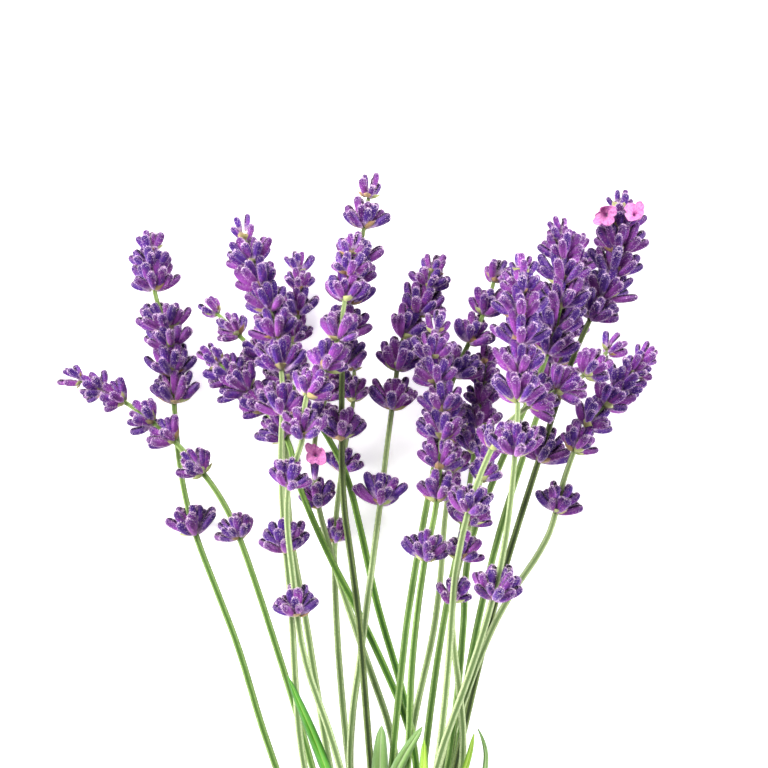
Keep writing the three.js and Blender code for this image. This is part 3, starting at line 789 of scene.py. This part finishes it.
# %% Grow the bracts of one head
BRACT_AROUND = 12
BRACT_SHARE_ALONG = np.linspace(0, 1, 9)
BRACT_PROFILE = np.array([0.45, 0.72, 0.93, 1.0, 0.94, 0.74, 0.46, 0.2, 0.04])
BRACTS_EACH = 4
BRACT_WIDE = 1.25 * MM
BRACT_LONG = 3.4 * MM
BRACT_THICK = 0.16 * MM
BRACT_CUP = 0.55
BRACT_LEAN, BRACT_RISE, BRACT_LIFT = 1.4, 0.8, -0.03
BRACT_GRAIN = 4


def build_bracts(number):
    rng = np.random.default_rng(int(number) * 211)
    tiers = []
    for whorl in WHORLS[number]:
        start = rng.uniform(0, 2 * np.pi)
        size = np.clip(whorl[3] * 0.62, 2.2 * MM, 3.8 * MM)
        tiers.append(tier(rng, whorl, BRACTS_EACH, start, BRACT_LEAN, BRACT_RISE, size, BRACT_LIFT))
    feet, ups, outs, lengths, leans, rises = (np.concatenate(part) for part in zip(*tiers))
    count = len(feet)
    wide = BRACT_WIDE * lengths / BRACT_LONG
    thick = np.full(count, BRACT_THICK)
    outline = np.ones((count, 1, BRACT_AROUND))
    grid = fingers(feet, ups, outs, lengths, leans, rises, wide, thick,
                   BRACT_SHARE_ALONG, BRACT_PROFILE, outline, cup=BRACT_CUP)
    shape = grid.shape[:3]
    along = np.broadcast_to(BRACT_SHARE_ALONG[None, :, None], shape)
    seeds = rng.uniform(0, SEEDS, (count, 1, 1))
    marks = {"place": round_place(angles_of(BRACT_AROUND), along * BRACT_GRAIN, shape, seed=seeds),
             "along": along,
             "tint": np.broadcast_to(rng.uniform(0, 1, (count, 1, 1)), shape)}
    make_piece(f"bracts_{number}", grid, tube_faces(count, shape[1], BRACT_AROUND), marks, BRACT_FINISH,
               [f"flower_head_{number}"])
    return count


print("bracts:", sum(build_bracts(number) for number in SPRIGS))

# %% [markdown]
# ## Leaves
#
# Lavender leaves are narrow, with a groove along the middle and edges that roll
# under. The solid is a flat six-sided blade. Its rings give the leaf's line, its
# width and which way it lies, and a finer outline adds the groove and the rolled
# edge. The sage leaves are grey with down, and the young ones are yellow-green.

# %% Leaf finishes
def leaf_finish(name, blade, edge, rib, down):
    finish = Finish(name, Roughness=0.5, Sheen_Weight=down, Sheen_Roughness=0.45, Sheen_Tint=srgb("eef3e6"))
    place = finish.place("place")
    across, along = finish.mark("across"), finish.mark("along")
    streak = finish.grain(place * (1.0, 1.0, 0.18), 2.4)
    fleck = finish.grain(place, 3.5)
    colour = finish.blend(srgb(blade), srgb(edge), (across + (streak - 0.5) * 0.5).ramp(0.35, 1.0))
    colour = finish.blend(colour, srgb(rib), (1 - across).ramp(0.86, 0.99) * 0.8)
    colour = finish.blend(colour, srgb(edge), fleck.ramp(0.55, 0.8) * 0.4)
    colour = finish.blend(colour, srgb(rib), (1 - along).ramp(0.75, 1.0) * 0.6)
    height = streak * 0.6 + fleck * 0.4
    return finish.wear(Base_Color=colour, Roughness=0.42 + 0.25 * fleck,
                       Normal=finish.bump(height, 0.15 * MM))


LEAF_FINISH = {
    "leaf_bright": leaf_finish("bright green leaf", "468c18", "2a6210", "93bf4e", 0.1),
    "leaf_sage": leaf_finish("sage leaf with grey down", "7b9f58", "5a7c42", "b4c896", 0.3),
    "leaf_young": leaf_finish("young yellow-green leaf", "8db42a", "5f8a20", "c0d672", 0.15),
}
print("leaf finishes:", ", ".join(LEAF_FINISH))

# %% [markdown]
# The outline of a leaf is a thin sheet that rises from the middle to both sides,
# turns down again at the edges and is pressed in along the rib. Sculpting would
# give the same, but one outline swept along the blade serves every leaf.

# %% Sweep a grooved, rolled outline along each leaf
LEAF_AROUND = 44
LEAF_STEP = 0.8 * MM
LEAF_THICK = 0.26 * MM
LEAF_THINNER_EDGE = 0.35
THIN_BELOW = 0.8 * MM          # a blade narrower than this gets thinner too
LEAF_RISE, LEAF_ROLL = 0.225, 0.28
GROOVE_DEEP, GROOVE_WIDE = 0.12, 0.16
TIP_HALF, LEAST_HALF = 0.1 * MM, 0.12 * MM
LEAF_GRAIN = 1.4


def blade_of(node):
    """The middle, half width and side direction of each ring of a leaf's solid."""
    foot, rings, tip = turned_rings(node, 6)
    rows = [[*foot, 0, 0, 0, 0]]
    before = np.array([1.0, 0, 0])
    for ring in rings:
        gaps = np.linalg.norm(ring[:, None] - ring[None], axis=-1)
        i, j = np.unravel_index(gaps.argmax(), gaps.shape)
        side = unit(ring[i] - ring[j])
        side = side * np.sign(side @ before)
        before = side
        rows.append([*ring.mean(0), gaps.max() / 2, *side])
    rows[0][4:] = rows[1][4:]
    rows.append([*tip, TIP_HALF, *before])
    return np.array(rows)


def build_leaf(node):
    rows, run = smooth_line(blade_of(node), LEAF_STEP)
    middles, half, side = rows[:, :3], np.clip(rows[:, 3], LEAST_HALF, None)[:, None], unit(rows[:, 4:])
    ahead = unit(np.gradient(middles, axis=0))
    over = np.cross(side, ahead)
    over = over * np.sign(over[:, 2:].mean())
    turn = angles_of(LEAF_AROUND)
    u = np.cos(turn)
    thin = np.clip(half / THIN_BELOW, 0.2, 1)
    sheet = LEAF_THICK * np.sin(turn) * (1 - LEAF_THINNER_EDGE * u ** 4) * thin
    groove = GROOVE_DEEP * np.exp(-(u / GROOVE_WIDE) ** 2)
    height = sheet + half * (LEAF_RISE * np.abs(u) - LEAF_ROLL * u ** 4 - groove)
    grid = middles[:, None] + (half * u)[..., None] * side[:, None] + height[..., None] * over[:, None]
    shape = grid.shape[:2]
    seed = sum(map(ord, node))
    parts = u * LEAF_GRAIN + seed, np.sin(turn) * LEAF_GRAIN, run[:, None] / MM
    place = np.stack([np.broadcast_to(part, shape) for part in parts], -1)
    marks = {"place": place, "across": np.broadcast_to(np.abs(u), shape),
             "along": np.broadcast_to((run / run[-1])[:, None], shape)}
    slot = slots[node]
    faces = tube_faces(1, shape[0], LEAF_AROUND)
    if np.dot(np.cross(side[3], over[3]), ahead[3]) < 0:
        faces = [face[::-1] for face in faces]
    make_piece(f"fine_{node}", grid, faces, marks, LEAF_FINISH[slot], [node])
    return run[-1]


leaves = sorted(name for name in frame["nodes"] if name.startswith("leaf_"))
print("leaves in mm:", [round(build_leaf(node) / MM) for node in leaves])

# %% [markdown]
# ## Open flowers
#
# A few of the calyces have opened. A lavender corolla is a short tube that
# spreads into five crinkled lobes, two larger ones above and three below. A
# polar grid gives the lobes their outline and ripple, and a Solidify modifier
# gives the thin sheet its thickness.

# %% Corolla finish
def corolla_finish():
    finish = Finish("pink corolla", Roughness=0.55, Sheen_Weight=0.3, Sheen_Roughness=0.4,
                    Sheen_Tint=srgb("ffe6f8"))
    place, along = finish.place("place"), finish.mark("along")
    vein = finish.grain(place * (1.0, 1.0, 0.25), 3.0)
    fleck = finish.grain(place, 7.0)
    petal = finish.blend(srgb("d480b8"), srgb("aa549f"), vein.ramp(0.42, 0.68))
    colour = finish.blend(srgb("c07cc0"), petal, (along + (fleck - 0.5) * 0.3).ramp(0.1, 0.35))
    height = vein + fleck * 0.5
    return finish.wear(Base_Color=colour, Roughness=0.45 + 0.25 * fleck,
                       Normal=finish.bump(height, 0.15 * MM))


COROLLA_FINISH = corolla_finish()

# %% [markdown]
# The solid cup of each flower gives its foot, its axis, its depth and its radius.
# Rings run up the tube and out over the lobes, and the further out a ring is, the
# more it has of the lobes, the fold and the curl. Five separate petals would have
# to be placed by hand, and these rings follow the cup by themselves.

# %% Shape each corolla on the line of its solid cup
COROLLA_AROUND = 60
COROLLA_SHARES = np.array([0.0, 0.1, 0.22, 0.36, 0.5, 0.62, 0.74, 0.86, 0.95, 1.0])
COROLLA_FLARE = np.array([0.17, 0.18, 0.19, 0.23, 0.4, 0.6, 0.76, 0.9, 0.97, 1.0])
COROLLA_RISE = np.array([0.0, 0.22, 0.44, 0.62, 0.74, 0.82, 0.88, 0.93, 0.97, 1.0])
COROLLA_THICK = 0.14 * MM
COROLLA_FOLD = 0.9 * MM
COROLLA_SPREAD = 1.14
COROLLA_CURL = 0.95
CURL_RISE = 2.2 * MM
LOBE_NOTCH, LOBE_BLUNT, UPPER_LARGER = 0.28, 0.6, 0.1
LOBE_DROOP = 0.7 * MM
RIPPLES, RIPPLE_HIGH = 11, 0.16 * MM
COROLLA_GRAIN, COROLLA_GRAIN_ALONG = 2.6, 3


def build_corolla(node):
    foot, middles, _, radii = line_of(node, 10)
    depths = np.linalg.norm(middles - foot, axis=1)
    axis = unit(middles[depths.argmax()] - foot)
    depth, radius = depths.max(), radii.max()
    turn = angles_of(COROLLA_AROUND)
    seed = sum(map(ord, node))
    notched = 1 - LOBE_NOTCH + LOBE_NOTCH * np.abs(np.cos(2.5 * turn)) ** LOBE_BLUNT
    lobed = notched + UPPER_LARGER * np.cos(turn)
    spread_out = COROLLA_SHARES[:, None] ** 2
    curl = COROLLA_CURL * spread_out * np.clip(np.cos(turn - 0.4), 0, 1)
    reach = COROLLA_SPREAD * radius * COROLLA_FLARE[:, None] * (1 + (lobed - 1) * spread_out) * (1 - curl)
    waved = RIPPLE_HIGH * np.sin(RIPPLES * turn + seed) + COROLLA_FOLD * np.cos(2 * turn + 1.2)
    rise = depth * COROLLA_RISE[:, None] + spread_out * (waved - LOBE_DROOP * lobed) + CURL_RISE * curl
    first = ring_directions(axis, turn)
    grid = foot + reach[..., None] * first[None] + rise[..., None] * axis
    shape = grid.shape[:2]
    along = np.broadcast_to(COROLLA_SHARES[:, None], shape)
    wide = along * COROLLA_GRAIN
    place = np.stack([wide * np.cos(turn) + seed, wide * np.sin(turn), along * COROLLA_GRAIN_ALONG], -1)
    faces = tube_faces(1, shape[0], COROLLA_AROUND)[:-1]
    piece = make_piece(f"fine_{node}", grid, faces, {"place": place, "along": along},
                       COROLLA_FINISH, [node])
    thick = piece.modifiers.new("thickness", "SOLIDIFY")
    thick.thickness = COROLLA_THICK
    return radius


print("corollas, radius in mm:", [round(build_corolla(node) / MM, 1) for node in OPEN_FLOWERS])

# %% [markdown]
# ## Twine
#
# Jute twine is three plies twisted together. A sweep with a three-lobed
# outline that turns as it goes gives the plies real depth, and stretched noise
# inside the finish gives their fibres. The furrows between the plies are darkened
# in the finish as painted shade. A few loose fibres stand off it, because
# jute is never smooth.

# %% Twine finish
def twine_finish():
    finish = Finish("jute twine", Roughness=0.85, Sheen_Weight=0.4, Sheen_Roughness=0.6,
                    Sheen_Tint=srgb("fff0d0"))
    place, groove = finish.place("place"), finish.mark("groove")
    fibre = finish.grain(place * (2.2, 2.2, 0.35), 2.6, detail=5.0)
    blotch = finish.grain(place, 0.35)
    colour = finish.blend(srgb("b08d56"), srgb("dcc391"), fibre)
    colour = finish.blend(colour, srgb("c9a66b"), blotch.ramp(0.4, 0.7) * 0.6)
    # Painted shade: the furrows between the plies are darkened.
    colour = finish.blend(colour, srgb("6b4f28"), groove.ramp(0.55, 1.0) * 0.7)
    return finish.wear(Base_Color=colour, Roughness=0.75 + 0.2 * fibre, Normal=finish.bump(fibre, 0.3 * MM))


TWINE_FINISH = twine_finish()

# %% [markdown]
# The outline of a strand is three overlapping circles, one for each ply, and it
# turns once for every few millimetres of its run. Both ends are rounded off.
# Three separate plies would look the same and cost more faces.

# %% A three-ply strand along any line
TURNS_OF_TWINE = 5
tie_low, tie_high = (np.array(corner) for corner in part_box("twine_tie"))
knot_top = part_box("twine_knot")[1][2]
TWINE_RADIUS = (tie_high[1] - tie_low[1]) / TURNS_OF_TWINE / 2
TWINE_AROUND = 30
PLY_OFFSET, PLY_RADIUS = 0.46, 0.54
TWIST_LENGTH = 5.5 * MM
STRAND_STEP = 0.3 * MM
LEAST_END = 0.15               # keeps the last ring of an end open
nearest_ply = (angles_of(TWINE_AROUND) + np.pi / 3) % (2 * np.pi / 3) - np.pi / 3
plies = PLY_OFFSET * np.cos(nearest_ply) + np.sqrt(PLY_RADIUS ** 2 - (PLY_OFFSET * np.sin(nearest_ply)) ** 2)


def strand(path):
    """Corner grid and marks of one length of twine, and its line."""
    line, run = smooth_line(path, STRAND_STEP)
    ends = np.minimum(run, run[-1] - run) / TWINE_RADIUS
    radii = TWINE_RADIUS * np.sqrt(np.where(ends < 1, np.clip(ends * (2 - ends), LEAST_END, 1), 1))
    grid = sweep(line, radii, plies, run / TWIST_LENGTH * 2 * np.pi)
    shape = grid.shape[:2]
    place = round_place(angles_of(TWINE_AROUND), run[:, None] / MM, shape)
    # painted shade mask: 1 in the furrows between the plies, 0 on their crests
    groove = np.broadcast_to(np.abs(nearest_ply) / (np.pi / 3), shape)
    return grid, {"place": place, "groove": groove}, line


def join_strands(name, paths, node):
    """Several lengths of twine as one piece."""
    grids, marks, faces, lines, first = [], [], [], [], 0
    for path in paths:
        grid, mark, line = strand(path)
        faces += [tuple(first + corner for corner in face) for face in tube_faces(1, len(grid), TWINE_AROUND)]
        first += grid.shape[0] * grid.shape[1]
        grids.append(grid.reshape(-1, 3))
        marks.append({key: value.reshape(len(grids[-1]), -1) for key, value in mark.items()})
        lines.append(line)
    joined = {key: np.concatenate([mark[key] for mark in marks]) for key in marks[0]}
    make_piece(name, np.concatenate(grids), faces, joined, TWINE_FINISH, [node])
    return lines


print("twine radius in mm:", round(TWINE_RADIUS / MM, 2))

# %% [markdown]
# The tie runs five times round the stems. Its line is the solid's own skin, drawn
# in by the twine's radius, and it moves on along the stems as it goes round. A
# helix would be simpler, but the bundle is flatter than a circle.

# %% Wind the tie
WIND_POINTS = 72
LEAST_GAP = 0.4 * MM           # points closer than this are left out
skin_of_tie, _ = welded("twine_tie")
tie_middle = (tie_low + tie_high) / 2


def wound_line():
    """A line that runs round the stems once for each turn, just inside the tie's own skin."""
    wind = np.arange(TURNS_OF_TWINE * WIND_POINTS + 1) / WIND_POINTS
    out = np.column_stack([np.sin(wind * 2 * np.pi), np.zeros(len(wind)), -np.cos(wind * 2 * np.pi)])
    hull = skin_of_tie[(out @ skin_of_tie.T).argmax(1)] - out * TWINE_RADIUS
    room = tie_high[1] - tie_low[1] - 2 * TWINE_RADIUS
    hull[:, 1] = tie_low[1] + TWINE_RADIUS + wind / TURNS_OF_TWINE * room
    kept = np.concatenate([[True], np.linalg.norm(np.diff(hull, axis=0), axis=1) > LEAST_GAP])
    return hull[kept]


tie_lines = join_strands("wound_tie", [wound_line()], "twine_tie")
print("wound length in mm:", round(run_along(tie_lines[0])[-1] / MM))

# %% [markdown]
# The knot is a trefoil, the simplest line that really is knotted, laid flat on
# top of the tie. Its two free ends follow the solid's ends down to their cuts. A
# drawn curve could look tied too, but its crossings would have to be checked.

# %% Make the knot and its two free ends
KNOT_LOOP = 1.35 * TWINE_RADIUS
KNOT_POINTS = 80
KNOT_EDGE = 4.6 * MM
END_POINTS = 9
knot_middle = np.array([tie_middle[0], tie_middle[1], knot_top - KNOT_LOOP - TWINE_RADIUS])
around = np.linspace(0, 4 * np.pi, KNOT_POINTS)
loop = 2 + np.cos(1.5 * around)
trefoil = knot_middle + KNOT_LOOP * np.column_stack(
    [loop * np.cos(around), loop * np.sin(around), np.sin(1.5 * around)])
skin_of_knot, _ = welded("twine_knot")


def free_end(side):
    """The line of one free end, from inside the knot to its cut."""
    x, y, z = (skin_of_knot[(skin_of_knot[:, 1] < knot_middle[1] - KNOT_EDGE)
                            & ((skin_of_knot[:, 0] - knot_middle[0]) * side > 0)]).T
    ys = np.linspace(y.max(), y.min(), END_POINTS)
    laid = np.column_stack([np.polyval(np.polyfit(y, x, 3), ys), ys, np.polyval(np.polyfit(y, z, 3), ys)])
    start = knot_middle + np.array([side * TWINE_RADIUS, -TWINE_RADIUS, 0])
    return np.vstack([start, laid])


knot_lines = join_strands("tied_knot", [trefoil, free_end(-1), free_end(1)], "twine_knot")
print("knot and ends in mm:", [round(run_along(line)[-1] / MM) for line in knot_lines])

# %% [markdown]
# Single fibres work loose from jute and stand off it at all angles. They are the
# same fingers as the calyces, far thinner, with their feet inside the twine. Hair
# curves would be lighter, but these export with the rest.

# %% Loose jute fibres
FIBRE_AROUND = 5
FIBRE_RADIUS = 0.045 * MM
FIBRE_SHARE = np.linspace(0, 1, 8)
FIBRE_PROFILE = np.array([1.0, 0.95, 0.9, 0.8, 0.7, 0.55, 0.35, 0.1])
FIBRE_FOOT = 0.6               # this share of the twine's radius from its middle


def loose_fibres(name, lines, count, node):
    rng = np.random.default_rng(count)
    line = np.concatenate(lines)
    pick = rng.integers(2, len(line) - 2, count)
    ahead = unit(line[pick + 1] - line[pick - 1])
    out = unit(np.cross(ahead, rng.normal(size=(count, 3))))
    foot = line[pick] + out * TWINE_RADIUS * FIBRE_FOOT
    length = spread(rng, 2.4 * MM, 1.0 * MM, count)
    lean, rise = spread(rng, 0.7, 0.4, count), spread(rng, 1.3, 0.6, count)
    radius = np.full(count, FIBRE_RADIUS)
    outline = np.ones((count, 1, FIBRE_AROUND))
    grid = fingers(foot, ahead, out, length, lean, rise, radius, radius, FIBRE_SHARE, FIBRE_PROFILE, outline)
    shape = grid.shape[:3]
    place = np.broadcast_to(pick[:, None, None, None] * 1.0, (*shape, 3))
    marks = {"place": place, "groove": np.zeros(shape)}
    make_piece(name, grid, tube_faces(count, shape[1], FIBRE_AROUND), marks, TWINE_FINISH, [node])
    print(name, "-", count, "fibres")


loose_fibres("tie_fibres", tie_lines, 160, "twine_tie")
loose_fibres("knot_fibres", knot_lines, 110, "twine_knot")

# %% [markdown]
# ## Floor
#
# The bunch lies on a plain, nearly white floor, so its own colours carry the
# picture. The floor gives off a little light itself, which keeps the shadows
# faint. It is a round sheet wide enough for every camera.

# %% Floor
FLOOR_RADIUS = 4.0
FLOOR_DROP = 0.05 * MM
FLOOR_AROUND = 64
FLOOR_RINGS = np.array([0.02, 0.5, 1.5, FLOOR_RADIUS])


def build_floor():
    finish = Finish("pale floor", Roughness=0.9, Specular_IOR_Level=0.1, Emission_Color=srgb("ffffff"),
                    Emission_Strength=0.5)
    place = finish.add("ShaderNodeNewGeometry", {}, {}, out="Position")
    tone = finish.grain(place, 30.0)
    finish.wear(Base_Color=finish.blend(srgb("fbfbfb"), srgb("fdfdfd"), tone))
    turn, radii = angles_of(FLOOR_AROUND), FLOOR_RINGS[:, None]
    rings = round_place(turn, -FLOOR_DROP, (len(radii), FLOOR_AROUND), radii)
    skin = bpy.data.meshes.new("floor")
    skin.from_pydata(rings.reshape(-1, 3).tolist(), [], tube_faces(1, len(radii), FLOOR_AROUND)[:-1])
    skin.flip_normals()
    skin.materials.append(finish.material)
    floor = bpy.data.objects.new("floor", skin)
    bpy.context.scene.collection.objects.link(floor)


build_floor()
print("floor radius in m:", FLOOR_RADIUS)

# %% [markdown]
# ## Light
#
# One disk of light above the far left acts as a window. Three lower ones stand at
# the left, the right and the far side, and they draw bright edges on the down. A
# pale room fills in the rest. One strong lamp would leave hard, dark shadows
# between the calyces.

# %% Lights
LIGHT_AIM = np.array([tie_middle[0], tie_middle[1] + 0.15, 0.02])


def soft_light(name, offset, width, power, tint):
    lamp = bpy.data.lights.new(name, "AREA")
    lamp.shape = "DISK"
    lamp.size = width
    lamp.energy = power
    lamp.color = tint
    light = bpy.data.objects.new(name, lamp)
    light.location = LIGHT_AIM + offset
    light.rotation_euler = Vector([-part for part in offset]).to_track_quat("-Z", "Y").to_euler()
    bpy.context.scene.collection.objects.link(light)


soft_light("window light", (-0.8, 0.8, 1.3), 0.6, 35, (1.0, 0.985, 0.96))
soft_light("left edge light", (-1.3, -0.2, 0.45), 0.5, 24, (1.0, 0.97, 0.97))
soft_light("right edge light", (1.3, 0.1, 0.45), 0.5, 24, (0.98, 0.98, 1.0))
soft_light("far edge light", (0.1, 1.4, 0.5), 0.5, 20, (1.0, 1.0, 1.0))

ROOM_BRIGHT, ROOM_FALL = 0.94, 0.74
world = bpy.data.worlds.new("pale room")
bpy.context.scene.world = world
room = Nodes(world)
upward = room.add("ShaderNodeTexCoord", {}, {}, out="Generated")
height = room.add("ShaderNodeSeparateXYZ", {}, {0: upward}, out="Z")
glow = ROOM_BRIGHT - ROOM_FALL * height.ramp(0.15, 0.8)
background = world.node_tree.nodes["Background"]
background.inputs["Color"].default_value = (0.98, 0.985, 1.0, 1)
room.tree.links.new(glow.socket, background.inputs["Strength"])
bpy.context.scene.view_settings.view_transform = "Standard"

# %% [markdown]
# ## Camera
#
# The camera looks straight down, with a long lens from over a metre up, so the
# sprigs don't spread in perspective. Its frame is centred above the tie, so that
# the flower heads fill most of it and the cut ends of the stems fall outside.

# %% Camera
VIEW_WIDTH = 192 * MM
VIEW_ABOVE_TIE = 165.25 * MM
VIEW_ASIDE = -1 * MM
CAMERA_HEIGHT = 1.3
FOCUS_HEIGHT = 20 * MM
lens = bpy.data.cameras.new("long lens")
lens.sensor_width = 36
lens.lens = lens.sensor_width * (CAMERA_HEIGHT - FOCUS_HEIGHT) / VIEW_WIDTH
lens.clip_start, lens.clip_end = 0.01, 20
camera = bpy.data.objects.new("camera", lens)
camera.location = (tie_middle[0] + VIEW_ASIDE, tie_middle[1] + VIEW_ABOVE_TIE, CAMERA_HEIGHT)
bpy.context.scene.collection.objects.link(camera)
bpy.context.scene.camera = camera
print("lens in mm:", round(lens.lens))
